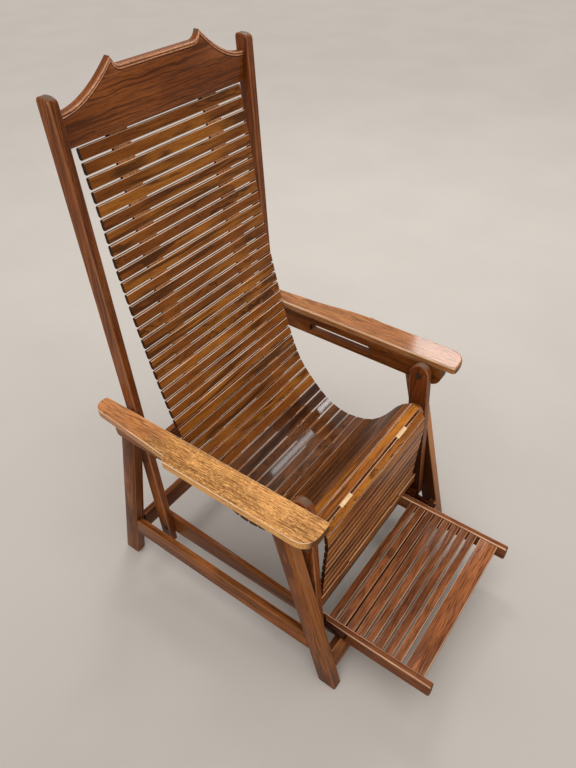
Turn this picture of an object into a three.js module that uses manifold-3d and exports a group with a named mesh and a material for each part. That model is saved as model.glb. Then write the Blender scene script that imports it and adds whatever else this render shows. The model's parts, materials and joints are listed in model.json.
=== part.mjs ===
// Slatted hardwood recliner with a hinged slat sling and a pull-out footrest.
// Millimetres. X runs across the chair, +Z is up and the sitter faces -Y.
// The side view is drawn with a forward distance, counted from the rear end of
// the arms towards the footrest, and a height above the floor.
import * as THREE from "three";
import { mergeVertices } from "three/addons/utils/BufferGeometryUtils.js";
import Module from "manifold-3d";

const wasm = await Module();
wasm.setup();

// Counts
const SLATS = 55;
const BACK_GROUP_COUNT = 4;
const BACK_GROUPS = 6;
const SEAT_GROUP_COUNT = 3;
const SEAT_GROUPS = 6;
const ROLL_GROUP_COUNT = 5;
const FALL_GROUP_COUNT = 4;
const FALL_GROUPS = 2;
const FOOT_SLATS = 8;
const CURVE_STEPS = 6;
const ROUND_STEPS = 20;
const TURN_STEPS = 16;
const CUSP_STEPS = 10;

// Clearances
const JOINT_GAP = 0.3;
const SWING_GAP = 2.2;
const WELD = 1;

// Side frames: arm, apron, legs and side stretcher stand in one layer
const SWING_LAYER_GAP = 9.5;
const FRAME_THICK = 25;
const FRAME_EASE = 2;
const ARM_TOP = 540;
const ARM_THICK = 17;
const ARM_INNER_LAP = 1;
const ARM_REACH = 65.5;
const ARM_NOTCH_DEEP = 13;
const ARM_REAR_WIDE = 38;
const ARM_REAR_OVERHANG = 6;
const ARM_REAR_CORNER = 10;
const ARM_OVERHANG = 70.5;
const ARM_NOTCH_FORWARD = 206;
const ARM_NOTCH_RUN = 9;
const ARM_REAR_ROUND_SHARE = 0.7;
const ARM_FRONT_ROUND = 38;
const ARM_CORNER = 5;
const ARM_EASE = 3;
const APRON_BOTTOM = 473.5;
const APRON_REAR = 36;
const APRON_SET_BACK = 29;
const APRON_REAR_ROUND = 12;
const APRON_FRONT_ROUND = 34;
const SLOT_REAR = 166.5;
const SLOT_FRONT = 336.5;
const SLOT_HIGH = 499;
const SLOT_TALL = 15;
const REAR_LEG_FOOT = -56.5;
const REAR_LEG_FOOT_WIDE = 41;
const REAR_LEG_HEAD = 48;
const REAR_LEG_HEAD_WIDE = 36;
const FRONT_LEG_FOOT = 556;
const FRONT_LEG_FOOT_WIDE = 42.5;
const FRONT_LEG_HEAD = 434;
const FRONT_LEG_HEAD_WIDE = 42.5;
const STRETCHER_LOW = 109;
const STRETCHER_THICK = 16;
const STRETCHER_TALL = 51.5;
const REAR_CROSS_FRONT = 20;
const REAR_CROSS_THICK = 14;
const FRONT_CROSS_LOW = 53;
const FRONT_CROSS_TALL = 55;
const FRONT_CROSS_THICK = 15;

// Parallelogram linkage: the four pivots of each side
const REAR_PIVOT = [50, 513];
const FRONT_PIVOT = [479.5, 509.5];
const SWING = [29.5, -369];
const BOLT_RADIUS = 4;
const BOLT_COLLAR = 9;
const BOLT_HEAD = 7;
const BOLT_HEAD_THICK = 3;
const PIN_RADIUS = 4;
const PIN_HEAD = 6.5;
const PIN_HEAD_THICK = 1.2;

// Swinging layer: stiles and inner front legs
const SLAT_END_GAP = 19;
const STILE_THICK = 19;
const STILE_DEEP = 31;
const STILE_TOP = [34.5, 1131];
const STILE_TOP_RUN = 17;
const STILE_TOP_FALL = 11;
const STILE_TOP_BACK = 7;
const STILE_MID = [65.5, 600];
const STILE_FOOT = [93, 93];
const STILE_FOOT_ROUND = 12;
const STILE_EASE = 2.5;
const CREST_DROP = 82;
const CREST_LOW = STILE_TOP[1] - CREST_DROP;
const CREST_END_TALL = 54;
const CREST_FLAT_RISE = 42;
const CREST_CUSP_RISE = 15;
const CREST_CUSP_AT = 103;
const CREST_FLAT_AT = 84;
const CREST_SWEEP_AT = 165;
const CREST_DIP_AT = 97;
const CREST_FRONT = 24;
const CREST_THICK = 15;
const CREST_EASE = 2;
const TONGUE_SET_BACK = 10;
const BEAD_DROP = 8;
const BEAD_GROOVE = 2.5;
const BEAD_DEEP = 1.8;
const BACK_RAIL_LOW = 372;
const BACK_RAIL_TALL = 45;
const BACK_RAIL_FRONT = 75;
const BACK_RAIL_THICK = 14;
const INNER_LEG_TOP = 534;
const INNER_LEG_LOW = 116;
const INNER_LEG_WIDE = 45;
const INNER_LEG_EASE = 2;

// Lower rails, inside the stiles
const RAIL_SIDE_GAP = 1;
const RAIL_THICK = 11;
const RAIL_REAR = 37.5;
const RAIL_FRONT = 582;
const RAIL_REAR_LOW = 113;
const RAIL_REAR_TALL = 65;
const RAIL_FRONT_LOW = 120;
const RAIL_FRONT_TALL = 28;
const RAIL_ROUND = 24;
const RAIL_FRONT_CUT = 8;

// Sling of hinged slats: points on the sitting face, from the crest rail over
// the roll bar and down to the bottom rail
const SLING_TOP_GAP = 1.5;
const SLING_WAIST = 516.5;
function backHeight(share) {
  return SLING_WAIST + share * (CREST_LOW - SLING_TOP_GAP - SLING_WAIST);
}

const SLING_PATH = [
  [18, CREST_LOW - SLING_TOP_GAP],
  [39.5, backHeight(0.7797)],
  [54, backHeight(0.6017)],
  [79, backHeight(0.3832)],
  [108.5, backHeight(0.1695)],
  [136.5, SLING_WAIST],
  [168.5, 437],
  [208, 383.5],
  [261, 336],
  [317, 318.5],
  [379, 333],
  [417.5, 368],
  [452, 419.5],
  [487, 442.5],
  [514, 421],
  [520, 388],
  [515.5, 300],
  [511.5, 203],
];
const SLAT_HALF = 201;
const SLAT_THICK = 8;
const SLAT_GAP = 3.8;
const SLAT_EASE = 1;
const SLAT_BACK_BEVEL = 2.6;
const TONGUE_AT = 114;
const TONGUE_WIDE = 38.5;
const TONGUE_THICK = 5;
const TONGUE_BITE = 2.6;
const NOTCH_MARGIN = 0.25;
const ROLL_CENTRE = [487, 408];
const ROLL_RADIUS = 19.5;
const ROLL_TENON = 12;
const BOTTOM_RAIL_LOW = 175;
const BOTTOM_RAIL_TALL = 27;
const BOTTOM_RAIL_FRONT = 513;
const BOTTOM_RAIL_THICK = 13;
const BOTTOM_RAIL_TENON = 8;

// Footrest
const FOOT_SIDE_GAP = 1;
const FOOT_THICK = 15;
const FOOT_LOW = 88.5;
const FOOT_TALL = 40;
const FOOT_REAR = 311;
const FOOT_FRONT = 779.5;
const FOOT_ROUND = 6;
const FOOT_SLAT_REAR = 525;
const FOOT_LAST_GAP = 4.2;
const FOOT_SLAT_GAP = 4.6;
const FOOT_SLAT_THICK = 9;
const FOOT_FRONT_RAIL = 714;
const FOOT_FRONT_RAIL_WIDE = 43.5;
const FOOT_FRONT_RAIL_THICK = 12;
const FOOT_SLAT_INSET = 3;
const REAR_BAR_FORWARD = 322;
const REAR_BAR_WIDE = 20;
const REAR_BAR_THICK = 15;
const REAR_BAR_LAP = 13.5;

const REAR_END = REAR_LEG_FOOT;
const CENTRE = (REAR_END + FOOT_FRONT) / 2;
const STILE_IN = SLAT_HALF + SLAT_END_GAP;
const STILE_OUT = STILE_IN + STILE_THICK;
const FRAME_IN = STILE_OUT + SWING_LAYER_GAP;
const FRAME_OUT = FRAME_IN + FRAME_THICK;
const ARM_IN = FRAME_IN - ARM_INNER_LAP;
const ARM_FRONT_OUT = ARM_IN + ARM_REACH;
const ARM_NOTCH_OUT = ARM_FRONT_OUT - ARM_NOTCH_DEEP;
const ARM_REAR_OUT = ARM_IN + ARM_REAR_WIDE;
const ARM_REAR_ROUND = ARM_REAR_ROUND_SHARE * ARM_REAR_WIDE;
const ARM_LENGTH = FRONT_PIVOT[0] + ARM_OVERHANG;
const APRON_FRONT = ARM_LENGTH - APRON_SET_BACK;
const CREST_END = CREST_LOW + CREST_END_TALL;
const CREST_FLAT = CREST_END + CREST_FLAT_RISE;
const CREST_CUSP = CREST_FLAT + CREST_CUSP_RISE;
const ARM_UNDER = ARM_TOP - ARM_THICK;
const RAIL_OUT = STILE_IN - RAIL_SIDE_GAP;
const RAIL_IN = RAIL_OUT - RAIL_THICK;
const FOOT_OUT = RAIL_IN - FOOT_SIDE_GAP;
const REAR_BAR_REACH = FOOT_OUT + REAR_BAR_LAP;
const FOOT_IN = FOOT_OUT - FOOT_THICK;
const FOOT_SLAT_RUN = FOOT_FRONT_RAIL - FOOT_LAST_GAP - FOOT_SLAT_REAR;
const FOOT_SLAT_PITCH = FOOT_SLAT_RUN / FOOT_SLATS;
const FOOT_TOP = FOOT_LOW + FOOT_TALL;
const LOWER_REAR_PIVOT = [REAR_PIVOT[0] + SWING[0], REAR_PIVOT[1] + SWING[1]];
const LOWER_FRONT_PIVOT = [FRONT_PIVOT[0] + SWING[0], FRONT_PIVOT[1] + SWING[1]];

const chair = new THREE.Group();
chair.name = "slatted_recliner";

const teakDark = { color: 0x6e4129, roughness: 0.5 };
const teakWarm = { color: 0x9a6134, roughness: 0.45 };
const teakWorn = { color: 0xc08a55, roughness: 0.6 };
const steel = { color: 0x3c3835, roughness: 0.4, metalness: 0.9 };

function add(name, geometry, look) {
  const material = new THREE.MeshStandardMaterial(look);
  const mesh = new THREE.Mesh(geometry, material);
  mesh.name = name;
  chair.add(mesh);
}

function bare(geometry) {
  const copy = geometry.clone();
  copy.deleteAttribute("normal");
  copy.deleteAttribute("uv");
  return mergeVertices(copy);
}

function toSolid(geometry) {
  const merged = bare(geometry);
  return new wasm.Manifold(new wasm.Mesh({
    numProp: 3,
    vertProperties: new Float32Array(merged.attributes.position.array),
    triVerts: new Uint32Array(merged.index.array),
  }));
}

function toGeometry(solid) {
  const mesh = solid.getMesh();
  const geometry = new THREE.BufferGeometry();
  const positions = new THREE.BufferAttribute(new Float32Array(mesh.vertProperties), 3);
  geometry.setAttribute("position", positions);
  geometry.setIndex(new THREE.BufferAttribute(new Uint32Array(mesh.triVerts), 1));
  geometry.computeVertexNormals();
  return geometry;
}

// A board drawn in the side view (forward, height) and thick across the chair.
function sideBoard(shape, inner, thick, ease, side) {
  const geometry = eased(shape, thick, ease);
  const basis = new THREE.Matrix4().makeBasis(
    new THREE.Vector3(0, -1, 0),
    new THREE.Vector3(0, 0, 1),
    new THREE.Vector3(-1, 0, 0),
  );
  geometry.applyMatrix4(basis);
  geometry.translate(side > 0 ? inner + thick : -inner, CENTRE, 0);
  return geometry;
}

function extrusion(thick, ease) {
  if (ease === 0) {
    return { depth: thick, bevelEnabled: false, curveSegments: CURVE_STEPS };
  }
  return {
    depth: thick - 2 * ease,
    bevelEnabled: true,
    bevelThickness: ease,
    bevelSize: ease,
    bevelOffset: -ease,
    bevelSegments: 1,
    curveSegments: CURVE_STEPS,
  };
}

function eased(shape, thick, ease) {
  const geometry = new THREE.ExtrudeGeometry(shape, extrusion(thick, ease));
  geometry.translate(0, 0, ease);
  return geometry;
}

function polygon(points) {
  return new THREE.Shape(points.map(([u, v]) => new THREE.Vector2(u, v)));
}

// A closed outline whose corners are rounded by a quadratic curve.
function rounded(corners) {
  const shape = new THREE.Shape();
  const count = corners.length;
  corners.forEach(([u, v, round], index) => {
    const here = new THREE.Vector2(u, v);
    const [pu, pv] = corners[(index + count - 1) % count];
    const [nu, nv] = corners[(index + 1) % count];
    const before = new THREE.Vector2(pu, pv).sub(here).setLength(round || 0).add(here);
    const after = new THREE.Vector2(nu, nv).sub(here).setLength(round || 0).add(here);
    if (index === 0) {
      shape.moveTo(before.x, before.y);
    } else {
      shape.lineTo(before.x, before.y);
    }
    if (round) {
      shape.quadraticCurveTo(here.x, here.y, after.x, after.y);
    }
  });
  shape.closePath();
  return shape;
}

function drill(shape, [u, v], radius) {
  const hole = new THREE.Path();
  hole.absarc(u, v, radius, 0, 2 * Math.PI, true);
  shape.holes.push(hole);
}

// A piece turned about an axis that runs across the chair.
function turned(profile, [forward, height], side) {
  const points = profile.map(([along, radius]) => new THREE.Vector2(radius, along));
  const geometry = new THREE.LatheGeometry(points, TURN_STEPS);
  geometry.rotateZ(-Math.PI / 2);
  if (side < 0) {
    geometry.rotateZ(Math.PI);
  }
  geometry.translate(0, CENTRE - forward, height);
  return geometry;
}

function box(x0, x1, forward0, forward1, low, high) {
  const geometry = new THREE.BoxGeometry(x1 - x0, forward1 - forward0, high - low);
  const y = CENTRE - (forward0 + forward1) / 2;
  geometry.translate((x0 + x1) / 2, y, (low + high) / 2);
  return geometry;
}

function alongLeg(foot, head, height) {
  return foot + (head - foot) * height / APRON_BOTTOM;
}

function armShape() {
  const corners = [
    [ARM_IN, -ARM_REAR_OVERHANG, ARM_REAR_CORNER],
    [ARM_REAR_OUT, -ARM_REAR_OVERHANG, ARM_REAR_ROUND],
    [ARM_NOTCH_OUT, ARM_NOTCH_FORWARD, ARM_CORNER],
    [ARM_FRONT_OUT, ARM_NOTCH_FORWARD + ARM_NOTCH_RUN, ARM_CORNER],
    [ARM_FRONT_OUT, ARM_LENGTH, ARM_FRONT_ROUND],
    [ARM_IN, ARM_LENGTH, ARM_CORNER],
  ];
  return rounded(corners);
}

function apronShape() {
  const shape = rounded([
    [APRON_REAR, ARM_UNDER, 0],
    [APRON_REAR, APRON_BOTTOM, APRON_REAR_ROUND],
    [APRON_FRONT, APRON_BOTTOM, APRON_FRONT_ROUND],
    [APRON_FRONT, ARM_UNDER, 0],
  ]);
  const slot = new THREE.Path();
  const radius = SLOT_TALL / 2;
  slot.absarc(SLOT_REAR + radius, SLOT_HIGH, radius, Math.PI / 2, 1.5 * Math.PI, false);
  slot.absarc(SLOT_FRONT - radius, SLOT_HIGH, radius, -Math.PI / 2, Math.PI / 2, false);
  slot.closePath();
  shape.holes.push(slot);
  drill(shape, REAR_PIVOT, BOLT_RADIUS + JOINT_GAP);
  drill(shape, FRONT_PIVOT, BOLT_RADIUS + JOINT_GAP);
  return shape;
}

function stileShape() {
  const shape = new THREE.Shape();
  const topHigh = STILE_TOP[1];
  const topRear = STILE_TOP[0] - STILE_DEEP;
  const shoulder = topHigh - STILE_TOP_FALL;
  const bulge = 2;
  const control = [
    bulge * STILE_MID[0] - (STILE_TOP[0] + STILE_FOOT[0]) / 2,
    bulge * STILE_MID[1] - (shoulder + STILE_FOOT[1]) / 2,
  ];
  shape.moveTo(STILE_TOP[0], shoulder);
  shape.quadraticCurveTo(STILE_TOP[0], topHigh, STILE_TOP[0] - STILE_TOP_RUN, topHigh);
  shape.lineTo(topRear + STILE_TOP_BACK, topHigh);
  shape.quadraticCurveTo(topRear, topHigh, topRear, topHigh - STILE_TOP_BACK);
  shape.quadraticCurveTo(
    control[0] - STILE_DEEP,
    control[1],
    STILE_FOOT[0] - STILE_DEEP,
    STILE_FOOT[1] + STILE_FOOT_ROUND,
  );
  shape.lineTo(STILE_FOOT[0] - STILE_DEEP + STILE_FOOT_ROUND, STILE_FOOT[1]);
  shape.lineTo(STILE_FOOT[0] - STILE_EASE, STILE_FOOT[1]);
  shape.lineTo(STILE_FOOT[0], STILE_FOOT[1] + STILE_EASE);
  shape.quadraticCurveTo(control[0], control[1], STILE_TOP[0], shoulder);
  drill(shape, REAR_PIVOT, BOLT_RADIUS + JOINT_GAP);
  drill(shape, LOWER_REAR_PIVOT, PIN_RADIUS + JOINT_GAP);
  return shape;
}

function legLine(height) {
  const share = (FRONT_PIVOT[1] - height) / (FRONT_PIVOT[1] - LOWER_FRONT_PIVOT[1]);
  return FRONT_PIVOT[0] + share * (LOWER_FRONT_PIVOT[0] - FRONT_PIVOT[0]);
}

function innerLegShape() {
  const half = INNER_LEG_WIDE / 2;
  const shape = new THREE.Shape();
  const shoulder = INNER_LEG_TOP - half;
  const top = legLine(shoulder);
  const foot = legLine(INNER_LEG_LOW + half);
  shape.moveTo(top + half, shoulder);
  shape.absarc(top, shoulder, half, 0, Math.PI, false);
  shape.lineTo(foot - half, INNER_LEG_LOW + half);
  shape.absarc(foot, INNER_LEG_LOW + half, half, Math.PI, 2 * Math.PI, false);
  shape.closePath();
  drill(shape, FRONT_PIVOT, BOLT_RADIUS + JOINT_GAP);
  drill(shape, LOWER_FRONT_PIVOT, PIN_RADIUS + JOINT_GAP);
  drill(shape, ROLL_CENTRE, ROLL_TENON + 2 * JOINT_GAP);
  const middle = BOTTOM_RAIL_LOW + BOTTOM_RAIL_TALL / 2;
  const centre = BOTTOM_RAIL_FRONT - BOTTOM_RAIL_THICK / 2;
  drill(shape, [centre, middle], BOTTOM_RAIL_TENON / 2 + JOINT_GAP);
  return shape;
}

function railShape() {
  const shape = rounded([
    [RAIL_REAR, RAIL_REAR_LOW, RAIL_ROUND],
    [RAIL_FRONT - RAIL_FRONT_CUT, RAIL_FRONT_LOW, 0],
    [RAIL_FRONT, RAIL_FRONT_LOW + RAIL_FRONT_CUT, 0],
    [RAIL_FRONT, RAIL_FRONT_LOW + RAIL_FRONT_TALL, RAIL_FRONT_CUT],
    [RAIL_REAR, RAIL_REAR_LOW + RAIL_REAR_TALL, RAIL_ROUND],
  ]);
  drill(shape, LOWER_REAR_PIVOT, PIN_RADIUS + JOINT_GAP);
  drill(shape, LOWER_FRONT_PIVOT, PIN_RADIUS + JOINT_GAP);
  return shape;
}

function crestTop(drop, steps) {
  const half = new THREE.Path();
  half.moveTo(STILE_IN, CREST_END - drop);
  half.quadraticCurveTo(CREST_SWEEP_AT, CREST_END - drop, CREST_CUSP_AT, CREST_CUSP - drop);
  half.quadraticCurveTo(CREST_DIP_AT, CREST_FLAT - drop, CREST_FLAT_AT, CREST_FLAT - drop);
  const right = half.getPoints(steps);
  const left = right.map((point) => new THREE.Vector2(-point.x, point.y)).reverse();
  return right.concat(left);
}

function crestRail() {
  const top = crestTop(0, CUSP_STEPS);
  const outline = [
    new THREE.Vector2(-STILE_IN, CREST_LOW),
    new THREE.Vector2(STILE_IN, CREST_LOW),
  ].concat(top);
  const board = eased(new THREE.Shape(outline), CREST_THICK, CREST_EASE);
  const above = crestTop(BEAD_DROP, CUSP_STEPS);
  const below = crestTop(BEAD_DROP + BEAD_GROOVE, CUSP_STEPS).reverse();
  const band = new THREE.ExtrudeGeometry(new THREE.Shape(above.concat(below)), {
    depth: 2 * BEAD_DEEP,
    bevelEnabled: false,
  });
  band.translate(0, 0, CREST_THICK - BEAD_DEEP);
  let rail = toSolid(board).subtract(toSolid(band));
  const biteLow = SLING_PATH[0][1] - SLAT_GAP / 2 - TONGUE_BITE;
  const setBack = CREST_THICK - TONGUE_SET_BACK;
  for (const x of [-TONGUE_AT, TONGUE_AT]) {
    const peg = new THREE.BoxGeometry(TONGUE_WIDE, CREST_LOW + WELD - biteLow, TONGUE_THICK);
    peg.translate(x, (CREST_LOW + WELD + biteLow) / 2, setBack);
    rail = rail.add(toSolid(peg));
  }
  const geometry = toGeometry(rail);
  const basis = new THREE.Matrix4().makeBasis(
    new THREE.Vector3(1, 0, 0),
    new THREE.Vector3(0, 0, 1),
    new THREE.Vector3(0, -1, 0),
  );
  geometry.applyMatrix4(basis);
  geometry.translate(0, CENTRE - CREST_FRONT + CREST_THICK, 0);
  return geometry;
}

function frontCross() {
  const rise = FRONT_CROSS_TALL;
  const notchLow = FOOT_LOW - JOINT_GAP - FRONT_CROSS_LOW;
  const outline = [[-FRAME_IN, 0], [FRAME_IN, 0], [FRAME_IN, rise]];
  const near = FOOT_IN - JOINT_GAP;
  const far = FOOT_OUT + JOINT_GAP;
  outline.push([far, rise], [far, notchLow], [near, notchLow], [near, rise]);
  outline.push([-near, rise], [-near, notchLow], [-far, notchLow], [-far, rise]);
  outline.push([-FRAME_IN, rise]);
  const geometry = new THREE.ExtrudeGeometry(polygon(outline), {
    depth: FRONT_CROSS_THICK,
    bevelEnabled: false,
  });
  const lean = (FRONT_LEG_FOOT - FRONT_LEG_HEAD) / APRON_BOTTOM;
  const basis = new THREE.Matrix4().makeBasis(
    new THREE.Vector3(1, 0, 0),
    new THREE.Vector3(0, lean, 1),
    new THREE.Vector3(0, -1, 0),
  );
  geometry.applyMatrix4(basis);
  const front = alongLeg(FRONT_LEG_FOOT, FRONT_LEG_HEAD, FRONT_CROSS_LOW) + FRONT_LEG_FOOT_WIDE;
  geometry.translate(0, CENTRE - front + FRONT_CROSS_THICK, FRONT_CROSS_LOW);
  return geometry;
}

// The side view of the sling: gap points lie between the slats.
const slingCurve = new THREE.SplineCurve(SLING_PATH.map(([u, v]) => new THREE.Vector2(u, v)));
const gapPoints = slingCurve.getSpacedPoints(SLATS);
const PITCH = slingCurve.getLength() / SLATS;
const SLAT_WIDE = PITCH - SLAT_GAP;

function slatFrame(from, to) {
  const along = to.clone().sub(from).normalize();
  const middle = from.clone().add(to).multiplyScalar(1 / 2);
  return new THREE.Matrix4().makeBasis(
    new THREE.Vector3(-1, 0, 0),
    new THREE.Vector3(0, -along.x, along.y),
    new THREE.Vector3(0, along.y, along.x),
  ).setPosition(0, CENTRE - middle.x, middle.y);
}

function slatProfile() {
  const half = SLAT_WIDE / 2;
  return polygon([
    [-half, -SLAT_EASE],
    [-half, SLAT_BACK_BEVEL - SLAT_THICK],
    [SLAT_BACK_BEVEL - half, -SLAT_THICK],
    [half - SLAT_BACK_BEVEL, -SLAT_THICK],
    [half, SLAT_BACK_BEVEL - SLAT_THICK],
    [half, -SLAT_EASE],
    [half - SLAT_EASE, 0],
    [SLAT_EASE - half, 0],
  ]);
}

// One slat lying along X, its width along Y and its sitting face at height 0.
function plainSlat() {
  const geometry = new THREE.ExtrudeGeometry(slatProfile(), {
    depth: 2 * SLAT_HALF,
    bevelEnabled: false,
  });
  const basis = new THREE.Matrix4().makeBasis(
    new THREE.Vector3(0, 1, 0),
    new THREE.Vector3(0, 0, 1),
    new THREE.Vector3(1, 0, 0),
  );
  geometry.applyMatrix4(basis);
  geometry.translate(-SLAT_HALF, 0, 0);
  return geometry;
}

function tongue(from, to, wide, thick) {
  const geometry = new THREE.BoxGeometry(wide, to - from, thick);
  geometry.translate(0, (from + to) / 2, -SLAT_THICK / 2);
  return geometry;
}

function placed(geometry, frame, x) {
  const copy = geometry.clone();
  copy.translate(x, 0, 0);
  copy.applyMatrix4(frame);
  return toSolid(copy);
}

// A group of slats: fixed tongues inside it, one free pair of tongues below it
// and one pair of open notches above it.
function slatGroup(first, count) {
  const slat = plainSlat();
  const half = SLAT_WIDE / 2;
  const link = tongue(-SLAT_GAP / 2 - WELD, SLAT_GAP / 2 + WELD, TONGUE_WIDE, TONGUE_THICK);
  let solid = null;
  for (let index = first; index < first + count; index += 1) {
    const frame = slatFrame(gapPoints[index], gapPoints[index + 1]);
    let body = placed(slat, frame, 0);
    for (const x of [-TONGUE_AT, TONGUE_AT]) {
      if (index === first) {
        const deep = -half + TONGUE_BITE + SWING_GAP;
        const wide = TONGUE_WIDE + 2 * NOTCH_MARGIN;
        const cutter = tongue(-half - WELD, deep, wide, 2 * SLAT_THICK);
        body = body.subtract(placed(cutter, frame, x));
      }
      if (index === first + count - 1) {
        const bite = tongue(half - WELD, half + SLAT_GAP + TONGUE_BITE, TONGUE_WIDE, TONGUE_THICK);
        body = body.add(placed(bite, frame, x));
      }
    }
    if (solid === null) {
      solid = body;
    } else {
      const before = gapPoints[index - 1];
      const after = gapPoints[index + 1];
      const here = gapPoints[index];
      const step = after.clone().sub(before).normalize().multiplyScalar(SLAT_GAP / 2);
      const seam = slatFrame(here.clone().sub(step), here.clone().add(step));
      solid = solid.add(body);
      for (const x of [-TONGUE_AT, TONGUE_AT]) {
        solid = solid.add(placed(link, seam, x));
      }
    }
  }
  return toGeometry(solid);
}

for (const side of [-1, 1]) {
  const hand = side < 0 ? "left" : "right";

  const arm = eased(armShape(), ARM_THICK, ARM_EASE);
  if (side < 0) {
    arm.rotateZ(Math.PI);
  } else {
    arm.rotateX(Math.PI);
    arm.translate(0, 0, ARM_THICK);
  }
  arm.translate(0, CENTRE, ARM_UNDER);
  add(`arm_${hand}`, arm, teakWorn);

  const apron = sideBoard(apronShape(), FRAME_IN, FRAME_THICK, 0, side);
  add(`apron_${hand}`, apron, teakDark);

  const rearLeg = rounded([
    [REAR_LEG_FOOT, 0, 0],
    [REAR_LEG_FOOT + REAR_LEG_FOOT_WIDE, 0, 0],
    [REAR_LEG_HEAD + REAR_LEG_HEAD_WIDE, APRON_BOTTOM, 0],
    [REAR_LEG_HEAD, APRON_BOTTOM, 0],
  ]);
  add(`rear_leg_${hand}`, sideBoard(rearLeg, FRAME_IN, FRAME_THICK, 0, side), teakDark);

  const frontLeg = rounded([
    [FRONT_LEG_FOOT, 0, 0],
    [FRONT_LEG_FOOT + FRONT_LEG_FOOT_WIDE, 0, 0],
    [FRONT_LEG_HEAD + FRONT_LEG_HEAD_WIDE, APRON_BOTTOM, 0],
    [FRONT_LEG_HEAD, APRON_BOTTOM, 0],
  ]);
  add(`front_leg_${hand}`, sideBoard(frontLeg, FRAME_IN, FRAME_THICK, 0, side), teakDark);

  const low = STRETCHER_LOW;
  const high = STRETCHER_LOW + STRETCHER_TALL;
  const rearFoot = REAR_LEG_FOOT + REAR_LEG_FOOT_WIDE + JOINT_GAP;
  const rearHead = REAR_LEG_HEAD + REAR_LEG_HEAD_WIDE + JOINT_GAP;
  const stretcher = polygon([
    [alongLeg(rearFoot, rearHead, low), low],
    [alongLeg(FRONT_LEG_FOOT, FRONT_LEG_HEAD, low) - JOINT_GAP, low],
    [alongLeg(FRONT_LEG_FOOT, FRONT_LEG_HEAD, high) - JOINT_GAP, high],
    [alongLeg(rearFoot, rearHead, high), high],
  ]);
  const stretcherIn = FRAME_OUT - STRETCHER_THICK;
  const stretcherBoard = sideBoard(stretcher, stretcherIn, STRETCHER_THICK, 0, side);
  add(`side_stretcher_${hand}`, stretcherBoard, teakDark);

  const stile = sideBoard(stileShape(), STILE_IN, STILE_THICK, STILE_EASE, side);
  add(`stile_${hand}`, stile, teakDark);
  const innerLeg = sideBoard(innerLegShape(), STILE_IN, STILE_THICK, INNER_LEG_EASE, side);
  add(`inner_front_leg_${hand}`, innerLeg, teakDark);
  add(`lower_rail_${hand}`, sideBoard(railShape(), RAIL_IN, RAIL_THICK, 0, side), teakDark);

  const collarEnd = FRAME_IN - JOINT_GAP;
  const bolt = [
    [STILE_IN - BOLT_HEAD_THICK - JOINT_GAP, 0],
    [STILE_IN - BOLT_HEAD_THICK - JOINT_GAP, BOLT_HEAD],
    [STILE_IN - JOINT_GAP, BOLT_HEAD],
    [STILE_IN - JOINT_GAP, BOLT_RADIUS],
    [STILE_OUT + JOINT_GAP, BOLT_RADIUS],
    [STILE_OUT + JOINT_GAP, BOLT_COLLAR],
    [collarEnd, BOLT_COLLAR],
    [collarEnd, BOLT_RADIUS],
    [FRAME_OUT + JOINT_GAP, BOLT_RADIUS],
    [FRAME_OUT + JOINT_GAP, BOLT_HEAD],
    [FRAME_OUT + JOINT_GAP + BOLT_HEAD_THICK, BOLT_HEAD],
    [FRAME_OUT + JOINT_GAP + BOLT_HEAD_THICK, 0],
  ];
  add(`rear_pivot_bolt_${hand}`, turned(bolt, REAR_PIVOT, side), steel);
  add(`front_pivot_bolt_${hand}`, turned(bolt, FRONT_PIVOT, side), steel);

  const pin = [
    [RAIL_IN, 0],
    [RAIL_IN, PIN_RADIUS],
    [STILE_OUT + JOINT_GAP, PIN_RADIUS],
    [STILE_OUT + JOINT_GAP, PIN_HEAD],
    [STILE_OUT + JOINT_GAP + PIN_HEAD_THICK, PIN_HEAD],
    [STILE_OUT + JOINT_GAP + PIN_HEAD_THICK, 0],
  ];
  add(`rear_link_pin_${hand}`, turned(pin, LOWER_REAR_PIVOT, side), steel);
  add(`front_link_pin_${hand}`, turned(pin, LOWER_FRONT_PIVOT, side), steel);

  const footRail = rounded([
    [FOOT_REAR, FOOT_LOW, FOOT_ROUND],
    [FOOT_FRONT, FOOT_LOW, FOOT_ROUND],
    [FOOT_FRONT, FOOT_TOP, FOOT_ROUND],
    [FOOT_REAR, FOOT_TOP, FOOT_ROUND],
  ]);
  const footRailBoard = sideBoard(footRail, FOOT_IN, FOOT_THICK, FRAME_EASE, side);
  add(`footrest_rail_${hand}`, footRailBoard, teakDark);
}

add("crest_rail", crestRail(), teakDark);
const backRailHigh = BACK_RAIL_LOW + BACK_RAIL_TALL;
const backRailRear = BACK_RAIL_FRONT - BACK_RAIL_THICK;
const backRail = box(-STILE_IN, STILE_IN, backRailRear, BACK_RAIL_FRONT, BACK_RAIL_LOW, backRailHigh);
add("back_cross_rail", backRail, teakDark);

const crossHigh = STRETCHER_LOW + STRETCHER_TALL;
const crossRear = REAR_CROSS_FRONT - REAR_CROSS_THICK;
const rearCross = box(-FRAME_IN, FRAME_IN, crossRear, REAR_CROSS_FRONT, STRETCHER_LOW, crossHigh);
add("rear_cross_stretcher", rearCross, teakDark);
add("front_cross_stretcher", frontCross(), teakDark);

const rollProfile = [
  [-STILE_OUT, 0],
  [-STILE_OUT, ROLL_TENON],
  [-STILE_IN + JOINT_GAP, ROLL_TENON],
  [-STILE_IN + JOINT_GAP, ROLL_RADIUS],
  [STILE_IN - JOINT_GAP, ROLL_RADIUS],
  [STILE_IN - JOINT_GAP, ROLL_TENON],
  [STILE_OUT, ROLL_TENON],
  [STILE_OUT, 0],
];
add("front_roll_bar", turned(rollProfile, ROLL_CENTRE, 1), teakDark);

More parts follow.
